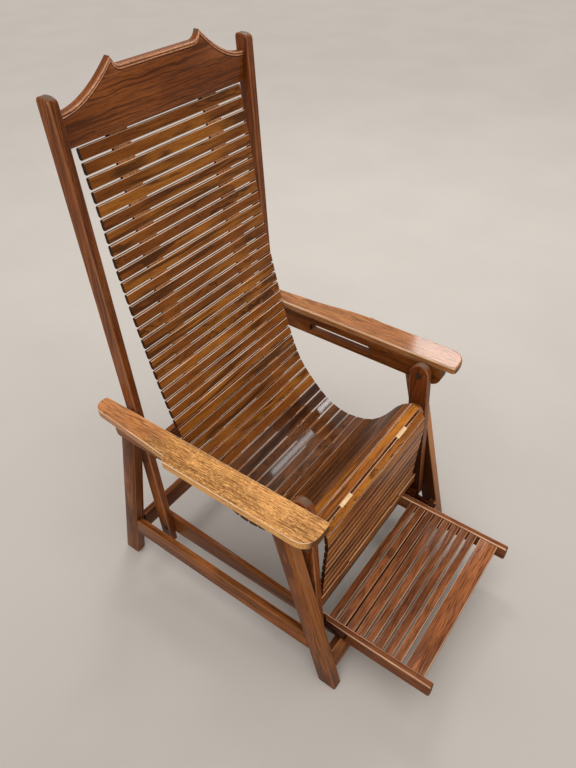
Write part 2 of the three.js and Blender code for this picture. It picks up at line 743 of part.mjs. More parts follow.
const bottomMiddle = BOTTOM_RAIL_LOW + BOTTOM_RAIL_TALL / 2;
const bottomCentre = BOTTOM_RAIL_FRONT - BOTTOM_RAIL_THICK / 2;
const tenonProfile = [
  [-STILE_OUT, 0],
  [-STILE_OUT, BOTTOM_RAIL_TENON / 2],
  [STILE_OUT, BOTTOM_RAIL_TENON / 2],
  [STILE_OUT, 0],
];
const bottomBoard = box(
  -STILE_IN + JOINT_GAP,
  STILE_IN - JOINT_GAP,
  BOTTOM_RAIL_FRONT - BOTTOM_RAIL_THICK,
  BOTTOM_RAIL_FRONT,
  BOTTOM_RAIL_LOW,
  BOTTOM_RAIL_LOW + BOTTOM_RAIL_TALL,
);
const bottomTenon = turned(tenonProfile, [bottomCentre, bottomMiddle], 1);
let bottomRail = toSolid(bottomBoard).add(toSolid(bottomTenon));
for (const x of [-TONGUE_AT, TONGUE_AT]) {
  const notchHalf = TONGUE_WIDE / 2 + NOTCH_MARGIN;
  const railTop = BOTTOM_RAIL_LOW + BOTTOM_RAIL_TALL;
  const notch = box(
    x - notchHalf,
    x + notchHalf,
    BOTTOM_RAIL_FRONT - BOTTOM_RAIL_THICK - WELD,
    BOTTOM_RAIL_FRONT + WELD,
    railTop - TONGUE_BITE - SWING_GAP,
    railTop + WELD,
  );
  bottomRail = bottomRail.subtract(toSolid(notch));
}
add("sling_bottom_rail", toGeometry(bottomRail), teakDark);

const groupSizes = [];
for (let index = 0; index < BACK_GROUPS; index += 1) {
  groupSizes.push(["back_slats", BACK_GROUP_COUNT]);
}
for (let index = 0; index < SEAT_GROUPS; index += 1) {
  groupSizes.push(["seat_slats", SEAT_GROUP_COUNT]);
}
groupSizes.push(["roll_slats", ROLL_GROUP_COUNT]);
for (let index = 0; index < FALL_GROUPS; index += 1) {
  groupSizes.push(["fall_slats", FALL_GROUP_COUNT]);
}
let firstSlat = 0;
const counters = {};
groupSizes.forEach(([label, size]) => {
  counters[label] = (counters[label] || 0) + 1;
  const geometry = slatGroup(firstSlat, size);
  add(`${label}_${counters[label]}`, geometry, teakWarm);
  firstSlat += size;
});

for (let index = 0; index < FOOT_SLATS; index += 1) {
  const from = FOOT_SLAT_REAR + index * FOOT_SLAT_PITCH;
  const to = from + FOOT_SLAT_PITCH - FOOT_SLAT_GAP;
  const top = FOOT_TOP - FOOT_SLAT_INSET;
  const slat = box(-FOOT_IN, FOOT_IN, from, to, top - FOOT_SLAT_THICK, top);
  add(`footrest_slat_${index + 1}`, slat, teakDark);
}
const frontRailTop = FOOT_TOP - FOOT_SLAT_INSET;
const footFront = box(
  -FOOT_IN,
  FOOT_IN,
  FOOT_FRONT_RAIL,
  FOOT_FRONT_RAIL + FOOT_FRONT_RAIL_WIDE,
  frontRailTop - FOOT_FRONT_RAIL_THICK,
  frontRailTop,
);
add("footrest_front_rail", footFront, teakDark);

const barTop = FOOT_LOW - JOINT_GAP;
const rearBar = box(
  -REAR_BAR_REACH,
  REAR_BAR_REACH,
  REAR_BAR_FORWARD,
  REAR_BAR_FORWARD + REAR_BAR_WIDE,
  barTop - REAR_BAR_THICK,
  barTop,
);
add("footrest_rear_bar", rearBar, teakDark);

export default chair;
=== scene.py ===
# %% [markdown]
# # A slatted hardwood recliner
# The chair hangs a sling of 55 narrow slats between two long stiles. This file
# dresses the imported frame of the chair: it cuts every board and slat as a mesh
# of its own, gives each its own cut of the log, and lights the whole softly.

# %% The frame that everything rides on
import json
import math
import random

import bmesh
import bpy
from mathutils import Matrix, Vector


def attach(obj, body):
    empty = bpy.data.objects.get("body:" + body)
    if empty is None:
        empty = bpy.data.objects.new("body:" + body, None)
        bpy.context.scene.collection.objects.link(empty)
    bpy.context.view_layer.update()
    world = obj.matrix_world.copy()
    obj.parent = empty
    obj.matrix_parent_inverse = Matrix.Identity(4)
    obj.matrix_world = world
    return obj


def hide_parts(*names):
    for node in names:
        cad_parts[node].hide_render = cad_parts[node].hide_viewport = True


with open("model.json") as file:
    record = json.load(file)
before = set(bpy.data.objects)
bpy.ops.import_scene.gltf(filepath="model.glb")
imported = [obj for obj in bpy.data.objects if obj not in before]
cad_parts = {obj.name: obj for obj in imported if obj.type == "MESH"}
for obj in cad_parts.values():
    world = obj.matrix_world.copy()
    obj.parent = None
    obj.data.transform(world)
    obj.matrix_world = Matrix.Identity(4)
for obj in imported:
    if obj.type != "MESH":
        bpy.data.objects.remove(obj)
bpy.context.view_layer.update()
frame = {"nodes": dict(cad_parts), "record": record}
body_of_node = {
    node: body
    for body, nodes in frame["record"]["behaviour"]["bodies"].items()
    for node in nodes
}

# %% [markdown]
# Joiners measure this chair from the back end of the arms towards the footrest,
# and up from the floor. The same two numbers, with the distance from the middle
# line, place every piece here. They are millimetres, turned into metres once.

# %% Places on the chair
MM = 0.001
CENTRE = 361.5


def at(x, forward, height):
    return Vector((x, CENTRE - forward, height)) * MM


def forward_of(point):
    return CENTRE - point.y / MM


def height_of(point):
    return point.z / MM


def ramp(value, start, end):
    """0 before start, 1 after end and even between them."""
    return min(1, max(0, (value - start) / (end - start)))


print("front edge of the footrest", at(0, 779.5, 128.5))

# %% [markdown]
# The camera is set where the picture of the chair was taken from: to the left
# of the footrest, at a standing person's height, looking down at the seat.
# A small shift puts the optical axis a little below the middle of the frame.

# %% Camera
WIDE = 576
FOCAL_PIXELS = 633.6
AXIS_LEFT, AXIS_BELOW = 1.2, 7.3
FILM = 36
EYE = (-0.8109, -0.5201, 1.4233)
YAW, PITCH, ROLL = (math.radians(degrees) for degrees in (53.6, -41.8, -0.8))
looking = Vector((
    math.sin(YAW) * math.cos(PITCH),
    math.cos(YAW) * math.cos(PITCH),
    math.sin(PITCH),
))
level = Vector((math.cos(YAW), -math.sin(YAW), 0))
above = level.cross(looking)
right = level * math.cos(ROLL) + above * math.sin(ROLL)
up = above * math.cos(ROLL) - level * math.sin(ROLL)
camera_data = bpy.data.cameras.new("standing_view")
camera_data.sensor_fit = "HORIZONTAL"
camera_data.sensor_width = FILM
camera_data.lens = FILM * FOCAL_PIXELS / WIDE
camera_data.shift_x = -AXIS_LEFT / WIDE
camera_data.shift_y = AXIS_BELOW / WIDE
camera = bpy.data.objects.new("standing_view", camera_data)
camera.matrix_world = Matrix((
    (right.x, up.x, -looking.x, EYE[0]),
    (right.y, up.y, -looking.y, EYE[1]),
    (right.z, up.z, -looking.z, EYE[2]),
    (0, 0, 0, 1),
))
bpy.context.collection.objects.link(camera)
bpy.context.scene.camera = camera
print("camera lens", round(camera_data.lens, 2), "mm")

# %% [markdown]
# Wood is too varied for one colour, so its finish is worked out from sums of
# masks. Laying every node by hand hides the sums, so a small class wraps a
# socket: arithmetic on it lays Math nodes, and one method lays any other node.
# A few functions lay the nodes that the finishes need most.

# %% Sums of sockets


class Wire:
    """A socket in a finish. Sums of wires lay the nodes that work them out."""

    def __init__(self, tree, socket=None):
        self.tree = tree
        self.socket = socket

    def node(self, kind, settings=None, inputs=None, out=0):
        laid = self.tree.nodes.new(kind)
        for name, value in (settings or {}).items():
            setattr(laid, name, value)
        for name, value in (inputs or {}).items():
            socket = laid.inputs[name]
            if isinstance(value, Wire):
                self.tree.links.new(value.socket, socket)
            elif socket.type == "VECTOR" and isinstance(value, (int, float)):
                socket.default_value = (value, value, value)
            else:
                socket.default_value = value
        return Wire(self.tree, laid.outputs[out])

    def joined(self, operation, other, flip=False):
        vector = self.socket.type == "VECTOR"
        kind = "ShaderNodeVectorMath" if vector else "ShaderNodeMath"
        pair = (other, self) if flip else (self, other)
        return self.node(kind, {"operation": operation}, {0: pair[0], 1: pair[1]})

    def __add__(self, other):
        return self.joined("ADD", other)

    __radd__ = __add__

    def __sub__(self, other):
        return self.joined("SUBTRACT", other)

    def __rsub__(self, other):
        return self.joined("SUBTRACT", other, flip=True)

    def __mul__(self, other):
        return self.joined("MULTIPLY", other)

    __rmul__ = __mul__

    def __pow__(self, other):
        return self.joined("POWER", other)

    def rises(self, low, high):
        """0 below low, 1 above high and smooth between them."""
        settings = {"interpolation_type": "SMOOTHSTEP"}
        places = {"Value": self, "From Min": low, "From Max": high}
        return self.node("ShaderNodeMapRange", settings, places)


def mixed(factor, first, second, mode="MIX"):
    """Two colours mixed by a mask. Any of the three may be a wire or plain."""
    base = next(value for value in (factor, first, second) if isinstance(value, Wire))
    settings = {"data_type": "RGBA", "blend_type": mode}
    sockets = {0: factor, 6: first, 7: second}
    for place in (6, 7):
        if not isinstance(sockets[place], Wire):
            sockets[place] = (*sockets[place], 1)
    return base.node("ShaderNodeMix", settings, sockets, out=2)


def attribute(tree, name):
    return Wire(tree).node("ShaderNodeAttribute", {"attribute_name": name}, out="Vector")


def noise(place, detail=2, out=0, **more):
    inputs = {"Vector": place, "Scale": 1, "Detail": detail, **more}
    return place.node("ShaderNodeTexNoise", inputs=inputs, out=out)


def off_centre(colour):
    """A colour noise, whose middle is 0.5, as a push in any direction."""
    return colour.node("ShaderNodeVectorMath", {"operation": "SUBTRACT"}, {0: colour, 1: 0.5})


def agreement(first, second):
    """The dot product of two directions."""
    settings = {"operation": "DOT_PRODUCT"}
    return first.node("ShaderNodeVectorMath", settings, {0: first, 1: second}, out="Value")


def numbers_of(wire):
    """The three numbers of a place or a direction."""
    first = wire.node("ShaderNodeSeparateXYZ", inputs={0: wire})
    return [Wire(wire.tree, socket) for socket in first.socket.node.outputs]


def times(colour, share):
    return tuple(min(1, share * part) for part in colour)


print("wires ready")

# %% [markdown]
# Every board was sawn out of a log, and its figure is the log's growth rings
# met by the saw. So each mesh carries, at each point, where that point lay in
# its log: along the grain, and two distances from the pith. One finish can then
# draw rings, pores and streaks for all boards, and no two boards are alike.

# %% Each board's place in its log


def store(mesh, name, values):
    layer = mesh.attributes.new(name, "FLOAT_VECTOR", "POINT")
    layer.data.foreach_set("vector", [number for value in values for number in value])


GRAIN_LEAN = 0.012


def cut_from_log(piece, along, face, seed, tone=0.0, figure=0.2, wear=0.0, pith=0.06):
    """Writes the log, the board's own axes and its cut (tone, figure, wear)."""
    dice = random.Random(seed)
    grain = Vector(along).normalized()
    flat = Vector(face)
    flat = (flat - grain * flat.dot(grain)).normalized()
    edge = flat.cross(grain)
    lean_edge = dice.uniform(-GRAIN_LEAN, GRAIN_LEAN)
    lean_flat = dice.uniform(-GRAIN_LEAN, GRAIN_LEAN)
    start = Vector((
        dice.uniform(-9, 9),
        dice.uniform(-0.4, 0.4) * pith,
        pith * dice.uniform(0.6, 1.5),
    ))
    mesh = piece.data
    points = [vertex.co for vertex in mesh.vertices]
    middle = sum(points, Vector()) / len(points)
    logs = []
    for point in points:
        local = point - middle
        length = grain.dot(local)
        logs.append((
            start.x + length,
            start.y + edge.dot(local) + lean_edge * length,
            start.z + flat.dot(local) + lean_flat * length,
        ))
    store(mesh, "log", logs)
    store(mesh, "face", [flat] * len(points))
    store(mesh, "edge", [edge] * len(points))
    shade = tone if callable(tone) else (lambda point: tone)
    worn = wear if callable(wear) else (lambda point: wear)
    store(mesh, "cut", [(shade(point), figure, worn(point)) for point in points])


print("boards can be cut from the log")

# %% [markdown]
# The wood is an oily tropical hardwood under a clear varnish. Its growth rings
# show as thin dark lines, its pores as short dark dashes, and a slow cloudiness
# runs along each board. Where arms and hands have rubbed, the varnish is gone
# and the wood is golden and rougher. Edges are paler than flats, partly from
# rubbing and partly as a painted highlight.
#
# A finish takes its colours first: pale and warm ground, dark rings and pores,
# and rubbed bare wood. Then come shares from 0 to about 1: how much the lines,
# streaks and blotches show, how pale the rims are (wear and painted highlight),
# how golden a worn board's narrow sides are, with painted light (band), how dark
# painted shade makes its narrow sides (sides), and how dark painted shade makes
# the lower part of its inward face (inner).

# %% The wood's finish


def hardwood(
    name, pale, warm, dark, rubbed, rough=0.42, coat=0.35, gloss=0.12,
    lines=0.75, rings_wide=300, streaks=0.5, blotch=0.5,
    rims=0.42, worn_and_glinting_edge=None, band=0.0, sides=0.0, inner=0.0, ends=None,
):
    material = bpy.data.materials.new(name)
    material.use_nodes = True
    tree = material.node_tree
    shader = tree.nodes["Principled BSDF"]
    log = attribute(tree, "log")
    tone, figure, wear = numbers_of(attribute(tree, "cut"))

    # The rings wander: a slow drift everywhere, a swirl only in figured wood.
    drift = off_centre(noise(log * (2.2, 9, 9), out="Color"))
    swirl = off_centre(noise(log * (24, 52, 52), 1, out="Color"))
    reach = {0: swirl, "Scale": figure * figure * 0.03}
    swirl = swirl.node("ShaderNodeVectorMath", {"operation": "SCALE"}, reach)
    place = log + drift * 0.006 + swirl
    length, across, depth = numbers_of(place)
    radius = (across * across + depth * depth) ** 0.5
    round_pith = {0: length * 4, 1: radius * rings_wide, 2: across * 9}
    ring = noise(radius.node("ShaderNodeCombineXYZ", inputs=round_pith), 3, Roughness=0.62)
    line = ring.rises(0.49, 0.61)

    # Long fibres, short pores, golden flecks, and two slow kinds of cloud.
    fine = noise(place * (24, 620, 620))
    dash = noise(place * (130, 2600, 2600), 1).rises(0.6, 0.72)
    fleck = noise(place * (150, 760, 760))
    cloud = noise(log * (9, 30, 30), 3)
    broad = noise(log * (4.5, 16, 16) + 3.7)
    patch = cloud.rises(0.36, 0.62)

    # The normal tells flats, narrow sides and ends apart, and the rims between.
    facing = log.node("ShaderNodeTexCoord", out="Normal")
    on_face = agreement(facing, attribute(tree, "face"))
    on_side = agreement(facing, attribute(tree, "edge"))
    face_share = on_face * on_face
    side_share = on_side * on_side
    rim = (face_share * side_share * 4).rises(0.05, 0.45)
    # The rims' paleness is partly wear and partly a painted highlight.
    rub_and_glint = rim * (0.45 + 0.55 * patch)
    end_grain = (1 - (face_share + side_share)).rises(0.5, 0.8)

    # Bare wood, where it is worn, is golden with dark flecks.
    bare = (wear * 1.5 + cloud * 0.9 - 0.72).rises(0.0, 0.55) * wear.rises(0.02, 0.2)
    golden = mixed(patch, times(rubbed, 0.8), times(rubbed, 0.52))
    golden = mixed(fleck.rises(0.52, 0.62) * 0.7, golden, times(rubbed, 1.3))
    golden = mixed((1 - fleck).rises(0.54, 0.66) * 0.45, golden, dark)

    # Varnished ground, bare wood over it, then every dark mark of the grain.
    colour = mixed(broad.rises(0.36, 0.64), warm, pale)
    colour = mixed(cloud.rises(0.58, 0.74) * blotch, colour, dark)
    colour = mixed(bare, colour, golden)
    colour = mixed(line * (lines - 0.22 * bare), colour, dark)
    colour = mixed(fine.rises(0.5, 0.64) * streaks, colour, dark)
    colour = mixed(dash * 0.5, colour, times(dark, 0.45))

    # What differs by side: painted shade on narrow sides and low on inward faces,
    # and pale rims, partly wear and partly a painted highlight.
    # Painted shade on narrow sides: slat edges in the gaps and the stretcher's top.
    colour = mixed(side_share.rises(0.6, 0.95) * sides, colour, dark)
    # Painted shade on the inward face, darker below about half a metre.
    if inner:
        height = numbers_of(log.node("ShaderNodeTexCoord", out="Object"))[2]
        painted_shade = (0 - on_face).rises(0.3, 0.9) * (0.52 - height).rises(0.0, 0.2)
        colour = mixed(painted_shade * inner, colour, times(dark, 0.6))
    # Narrow sides golden where worn, and paler where they face the light: wear and painted light.
    colour = mixed(side_share.rises(0.45, 0.9) * wear * band, colour, times(rubbed, 1.3))
    # Rim colour: partly rubbed wood, partly a painted highlight.
    colour = mixed(rub_and_glint * rims, colour, worn_and_glinting_edge or rubbed)
    colour = mixed(end_grain * 0.85, colour, ends or times(dark, 0.5))

    # The board's own tone. A dark board is redder, because blue fades the most.
    fades = {0: 1 + tone * 0.5, 1: 1 + tone * 0.56, 2: 1 + tone * 0.6}
    colour = mixed(1.0, colour, tone.node("ShaderNodeCombineXYZ", inputs=fades), "MULTIPLY")
    tree.links.new(colour.socket, shader.inputs["Base Color"])
    roughness = rough + 0.14 * cloud + 0.16 * bare + 0.1 * dash - 0.05 * ring
    tree.links.new(roughness.socket, shader.inputs["Roughness"])
    varnish = coat * (1 - 0.75 * bare) * (1 - 0.4 * end_grain)
    tree.links.new(varnish.socket, shader.inputs["Coat Weight"])
    shader.inputs["Coat Roughness"].default_value = gloss
    shader.inputs["Specular IOR Level"].default_value = 0.1
    shader.inputs["Specular Tint"].default_value = (1, 0.82, 0.66, 1)
    relief = fine * 0.35 - dash * 0.6 - line * 0.3
    depths = {"Strength": 0.35, "Distance": 0.0004, "Height": relief}
    bump = relief.node("ShaderNodeBump", inputs=depths)
    tree.links.new(bump.socket, shader.inputs["Normal"])
    return material


print("finish written")

# %% [markdown]
# The chair is not one colour. The frame boards are reddish brown, the slats
# run from honey to chestnut and are darker in the seat as painted shade, the
# arms are paler from use, and the tongues that join the slats are of fresh,
# light wood. Each gets its own set of tones.

# %% Finishes for the chair's woods
FRAME_LOOK = {
    "pale": (0.32, 0.1, 0.02), "warm": (0.19, 0.054, 0.01), "dark": (0.05, 0.012, 0.003),
    "rubbed": (0.5, 0.22, 0.09), "coat": 0.15, "lines": 0.65,
}
# The back boards' pale grey end grain (ends) is a painted reflection, as on the stile tops.
BACK_LOOK = {
    "pale": (0.32, 0.092, 0.019), "warm": (0.21, 0.054, 0.011), "dark": (0.055, 0.013, 0.003),
    "rubbed": (0.55, 0.27, 0.15), "coat": 0.2, "lines": 0.7, "rings_wide": 420,
    "blotch": 0.35, "ends": (0.16, 0.095, 0.062),
}
frame_wood = hardwood("frame_wood", **FRAME_LOOK)
# The front stretcher's top and bottom are darkened as painted shade.
stretcher_wood = hardwood("stretcher_wood", **FRAME_LOOK, sides=0.85)
# Painted shade low on the legs' inward faces; their narrow sides are golden from wear and painted
# light.
leg_wood = hardwood("leg_wood", **FRAME_LOOK, band=1.4, inner=0.85)
back_wood = hardwood("back_wood", **BACK_LOOK)
# Painted shade low on the inner legs' inward faces.
swing_wood = hardwood("swing_wood", **BACK_LOOK, inner=0.85)
# Slats: painted shade on the narrow sides in the gaps, and pale rims partly as a painted
# highlight.
slat_wood = hardwood(
    "slat_wood", pale=(0.43, 0.148, 0.02), warm=(0.25, 0.072, 0.01), dark=(0.045, 0.012, 0.003),
    rubbed=(0.62, 0.3, 0.15), rough=0.36, coat=0.1, blotch=0.3,
    rims=1, worn_and_glinting_edge=(0.88, 0.6, 0.44), sides=0.5,
)
# The arms' golden outer sides and pale rims are partly wear and partly painted light.
arm_wood = hardwood(
    "arm_wood", pale=(0.58, 0.235, 0.078), warm=(0.46, 0.17, 0.052), dark=(0.13, 0.038, 0.009),
    rubbed=(0.84, 0.4, 0.13), coat=0.6, gloss=0.09, lines=0.5, rings_wide=750, streaks=0.75,
    blotch=0.1, rims=0.9, worn_and_glinting_edge=(0.9, 0.66, 0.46), band=0.35,
)
foot_wood = hardwood(
    "foot_wood", pale=(0.34, 0.115, 0.04), warm=(0.2, 0.06, 0.019), dark=(0.055, 0.015, 0.006),
    rubbed=(0.5, 0.25, 0.14), rough=0.5, coat=0.14, lines=0.6, rings_wide=900, streaks=0.85,
    blotch=0.15, rims=1, worn_and_glinting_edge=(0.72, 0.44, 0.27), ends=(0.05, 0.028, 0.018),
)
# Painted shade: the seat's slats (seat_wood) and those towards the roll (shade_wood) are dark,
# with darker narrow sides; the seat's varnish is glossy.
seat_wood = hardwood(
    "seat_wood", pale=(0.17, 0.052, 0.011), warm=(0.078, 0.022, 0.005), dark=(0.012, 0.004, 0.002),
    rubbed=(0.5, 0.25, 0.14), rough=0.34, coat=0.6, gloss=0.05, lines=0.6,
    rims=0.7, worn_and_glinting_edge=(0.7, 0.46, 0.34), sides=0.7,
)
shade_wood = hardwood(
    "shade_wood", pale=(0.22, 0.068, 0.012), warm=(0.1, 0.029, 0.007), dark=(0.016, 0.005, 0.002),
    rubbed=(0.5, 0.25, 0.14), coat=0.06, lines=0.6,
    rims=0.35, worn_and_glinting_edge=(0.5, 0.28, 0.16), sides=0.7,
)
# The open seam's cream tongues: partly fresh wood, partly a painted highlight.
cream_wood = hardwood(
    "cream_wood", pale=(0.88, 0.64, 0.36), warm=(0.8, 0.55, 0.29), dark=(0.55, 0.33, 0.16),
    rubbed=(0.9, 0.72, 0.5), rough=0.45, coat=0.2, lines=0.2, rims=0.9,
)
tongue_wood = hardwood(
    "tongue_wood", pale=(0.7, 0.29, 0.08), warm=(0.5, 0.18, 0.045), dark=(0.26, 0.09, 0.022),
    rubbed=(0.8, 0.48, 0.3), rough=0.45, coat=0.2, rims=0.95,
)
print("twelve woods")

# %% [markdown]
# A sawn board has square edges, and a plane then takes the sharpness off. Most
# boards here already have the right outline in the frame, so each is taken as
# a copy, its loose triangles are joined into whole faces, and its edges are
# rounded by a bevel that leaves the flats flat.

# %% Boards taken from the frame
ACROSS, ALONG, UPWARD = (1, 0, 0), (0, 1, 0), (0, 0, 1)
SHARP_EDGE = math.radians(28)
SAME_PLANE = math.radians(1.2)
SAME_POINT = 0.00002


def shown(piece, finish, node=None, body=None, edge=0.8, steps=2, flat=False):
    """Links a piece, rounds its edges, and lets it ride in its node's place."""
    bpy.context.collection.objects.link(piece)
    for polygon in piece.data.polygons:
        polygon.use_smooth = not flat
    if edge:
        rounding = piece.modifiers.new("rounding", "BEVEL")
        rounding.width = edge * MM
        rounding.segments = steps
        rounding.limit_method = "ANGLE"
        rounding.angle_limit = SHARP_EDGE
        rounding.harden_normals = True
        rounding.use_clamp_overlap = True
    piece.data.materials.clear()
    piece.data.materials.append(finish)
    if node is not None:
        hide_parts(node)
        body = body_of_node[node]
    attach(piece, body)


def cut_through(work, forwards):
    """Cuts a mesh across at some places, so that its tone can change along it."""
    for forward in forwards:
        everything = list(work.verts) + list(work.edges) + list(work.faces)
        bmesh.ops.bisect_plane(work, geom=everything, plane_co=at(0, forward, 0), plane_no=ALONG)


def whole_faces(mesh, cuts=()):
    """Joins the triangles of flat faces, so that only real edges are left."""
    work = bmesh.new()
    work.from_mesh(mesh)
    bmesh.ops.remove_doubles(work, verts=work.verts, dist=SAME_POINT)
    bmesh.ops.dissolve_limit(work, angle_limit=SAME_PLANE, verts=work.verts, edges=work.edges)
    cut_through(work, cuts)
    work.to_mesh(mesh)
    work.free()


def board_from(node, name, along, face, finish, slot, redraw=None, cuts=(), edge=0.8, **cut):
    """A board with its node's outline, redrawn where the picture differs from it."""
    mesh = frame["nodes"][node].data.copy()
    mesh.name = name
    whole_faces(mesh, cuts)
    if redraw:
        for vertex in mesh.vertices:
            vertex.co = redraw(vertex.co)
    piece = bpy.data.objects.new(name, mesh)
    cut_from_log(piece, along, face, name, **cut)
    shown(piece, finish, node, edge=edge)


print("boards can be taken from the frame")

# %% [markdown]
# A few boards differ a little from their solids, where the picture showed it
# late: the footrest doesn't reach back under the seat, the lower rails are
# halved where they pass under the footrest's rails, and light shows through the
# aprons' slots. Tones change along some boards too: hands and legs keep the
# tops of the front legs golden, and painted shade makes the lower rails' front
# ends under the seat's front nearly black and the right inner leg darker
# towards its foot.

# %% The frame's and the footrest's boards
RAIL_SHORTER, RAIL_MIDDLE = 145, 400
HALVING_START, HALVING_ABOVE, HALVING_DEPTH = 527, 140, 20
SLOT_SPAN, SLOT_LOWER_HALF, SLOT_LOWERED = (160, 340), (485, 498.5), 9
SHADE_FROM, SHADE_TO = 470, 500
RAIL_CUTS = (SHADE_FROM, 485, SHADE_TO, HALVING_START - 1, HALVING_START + 1)


def drawn_forward(point):
    rear_half = forward_of(point) < RAIL_MIDDLE
    return point - Vector((0, RAIL_SHORTER, 0)) * MM if rear_half else point


def halved_end(point):
    in_halving = forward_of(point) > HALVING_START and height_of(point) > HALVING_ABOVE
    return point - Vector((0, 0, HALVING_DEPTH)) * MM if in_halving else point


def wider_slot(point):
    in_span = SLOT_SPAN[0] < forward_of(point) < SLOT_SPAN[1]
    low = SLOT_LOWER_HALF[0] < height_of(point) < SLOT_LOWER_HALF[1]
    return point - Vector((0, 0, SLOT_LOWERED)) * MM if in_span and low else point


# Painted shade: the lower rail darkens towards its front end, under the seat's front.
def shaded_end(point):
    return -1.6 * ramp(forward_of(point), SHADE_FROM, SHADE_TO)


SIDE, BACK, FOOT = "side_frame_wood", "back_frame_wood", "footrest_wood"
LEAN_REAR = (0, -104.5, 473.5)
LEAN_FRONT = (0, 122, 473.5)
LEAN_STILE = (0, -0.04, 1)
LEAN_INNER_LEG = (0, -0.08, 1)
for side, hand in ((-1, "left"), (1, "right")):

    def golden_top(point):
        return (0.4 + 0.2 * side) * ramp(height_of(point), 220, 420)

    # Painted shade: the right inner leg darkens towards its foot.
    def shaded_foot(point):
        return min(0, -side) * (1 - ramp(height_of(point), 120, 500))

    pairs = (
        ("apron", "apron", ALONG, frame_wood, SIDE, {"redraw": wider_slot, "edge": 1.6}),
        ("rear_leg", "rear_leg", LEAN_REAR, leg_wood, SIDE, {"edge": 2.2}),
        ("front_leg", "front_leg", LEAN_FRONT, leg_wood, SIDE, {"edge": 2.2, "wear": golden_top}),
        ("side_stretcher", "stretcher", ALONG, frame_wood, SIDE, {"edge": 2.2}),
        ("stile", "stile", LEAN_STILE, back_wood, BACK, {}),
        ("inner_front_leg", "inner_leg", LEAN_INNER_LEG, swing_wood, BACK, {"tone": shaded_foot}),
        ("lower_rail", "lower_rail", ALONG, frame_wood, SIDE, {
            "redraw": halved_end, "cuts": RAIL_CUTS, "edge": 2, "tone": shaded_end,
        }),
        ("footrest_rail", "footrest_rail", ALONG, foot_wood, FOOT, {"redraw": drawn_forward}),
    )
    for node, board, grain, finish, slot, look in pairs:
        name = f"{hand}_{board}_board"
        board_from(f"{node}_{hand}", name, grain, (side, 0, 0), finish, slot, **look)

singles = (
    ("back_cross_rail", "waist_rail_board", ALONG, back_wood, SIDE, {"edge": 2}),
    ("rear_cross_stretcher", "rear_stretcher_board", ALONG, frame_wood, SIDE, {"edge": 2}),
    ("front_cross_stretcher", "front_stretcher_board", ALONG, stretcher_wood, SIDE, {"edge": 2}),
    ("sling_bottom_rail", "fall_bottom_board", ALONG, slat_wood, SIDE, {"edge": 1.5}),
    ("footrest_rear_bar", "footrest_bar_board", UPWARD, foot_wood, FOOT, {
        "redraw": drawn_forward, "edge": 2,
    }),
    ("footrest_front_rail", "footrest_lip_board", UPWARD, foot_wood, FOOT, {
        "edge": 1.5, "tone": 0.4,
    }),
)
for node, name, face, finish, slot, look in singles:
    board_from(node, name, ACROSS, face, finish, slot, **look)
for number in range(1, 9):
    tone = random.Random(number * 3).uniform(-0.25, 0.2)
    node = f"footrest_slat_{number}"
    board_from(node, f"{node}_board", ACROSS, UPWARD, foot_wood, FOOT, edge=1.2, tone=tone)
print("boards placed")

# %% [markdown]
# The slats follow one curve in the side view: down the back, under the seat,
# over the roll bar and down the front. The curve passes through a few measured
# points, and the joints between slats lie at equal distances along it.

# %% The sling's curve
SLATS = 55
WAIST = 516.5
SLING_TOP = 1047.5
CURVE = (
    (21, SLING_TOP), (42.5, 930.5), (57, 836), (82, 720), (111, 606.5), (138, WAIST),
    (168.5, 437), (208, 383.5), (261, 336), (317, 318.5), (379, 333), (417.5, 368),
    (452, 419.5), (487, 442.5), (514, 421), (520, 388), (515.5, 300), (511.5, 203),
)
STEPS = 2000


def spline(share):
    """A point of the uniform curve through all the measured points."""
    place = share * (len(CURVE) - 1)
    first = min(int(place), len(CURVE) - 2)
    t = place - first
    near = [max(0, min(len(CURVE) - 1, first + step)) for step in (-1, 0, 1, 2)]
    before, a, b, after = (Vector(CURVE[index]) for index in near)
    start, end = (b - before) / 2, (after - a) / 2
    cubic = 2 * a - 2 * b + start + end
    square = 3 * b - 3 * a - 2 * start - end
    return cubic * t ** 3 + square * t ** 2 + start * t + a


samples = [spline(step / STEPS) for step in range(STEPS + 1)]
lengths = [0.0]
for before, after in zip(samples, samples[1:]):
    lengths.append(lengths[-1] + (after - before).length)
PITCH_MM = lengths[-1] / SLATS


def along_sling(distance):
    distance = min(max(distance, 0), lengths[-1])
    low = 0
    while low < STEPS - 1 and lengths[low + 1] < distance:
        low += 1
    t = (distance - lengths[low]) / (lengths[low + 1] - lengths[low])
    return samples[low].lerp(samples[low + 1], t)


seams = [along_sling(PITCH_MM * index) for index in range(SLATS + 1)]
print("slat pitch", round(PITCH_MM, 2), "mm")

# %% [markdown]
# A slat is drawn lying flat, face by face: a strip with its rear edges planed
# off and a pair of notches cut into its upper edge from behind, so that a thin
# skin is left in front. Two tongues of paler wood reach from its lower edge
# into the notches of the next slat. Each notch is a little too wide, which
# leaves a dark hole beside the tongue: that play is what lets the sling bend.

# %% One slat
SLAT_HALF = 201
THICK = 8
SKIN = 1.9
CHAMFER = 2.4
NOTCH_PLAY = (2.8, 4.2)
TONGUE_AT = 114
TONGUE_WIDE = 38.5
TONGUE_THICK = 2
TONGUE_DEEP = 3
SHOULDER_DEEP = 5.6
SHOULDER_STEP = 5
SHOULDER_BEGINS = 4.2
BITE = 2.6
SPARE_DEPTH = 0.9
LAP = 0.5
SHOULDER_LAP = 0.9


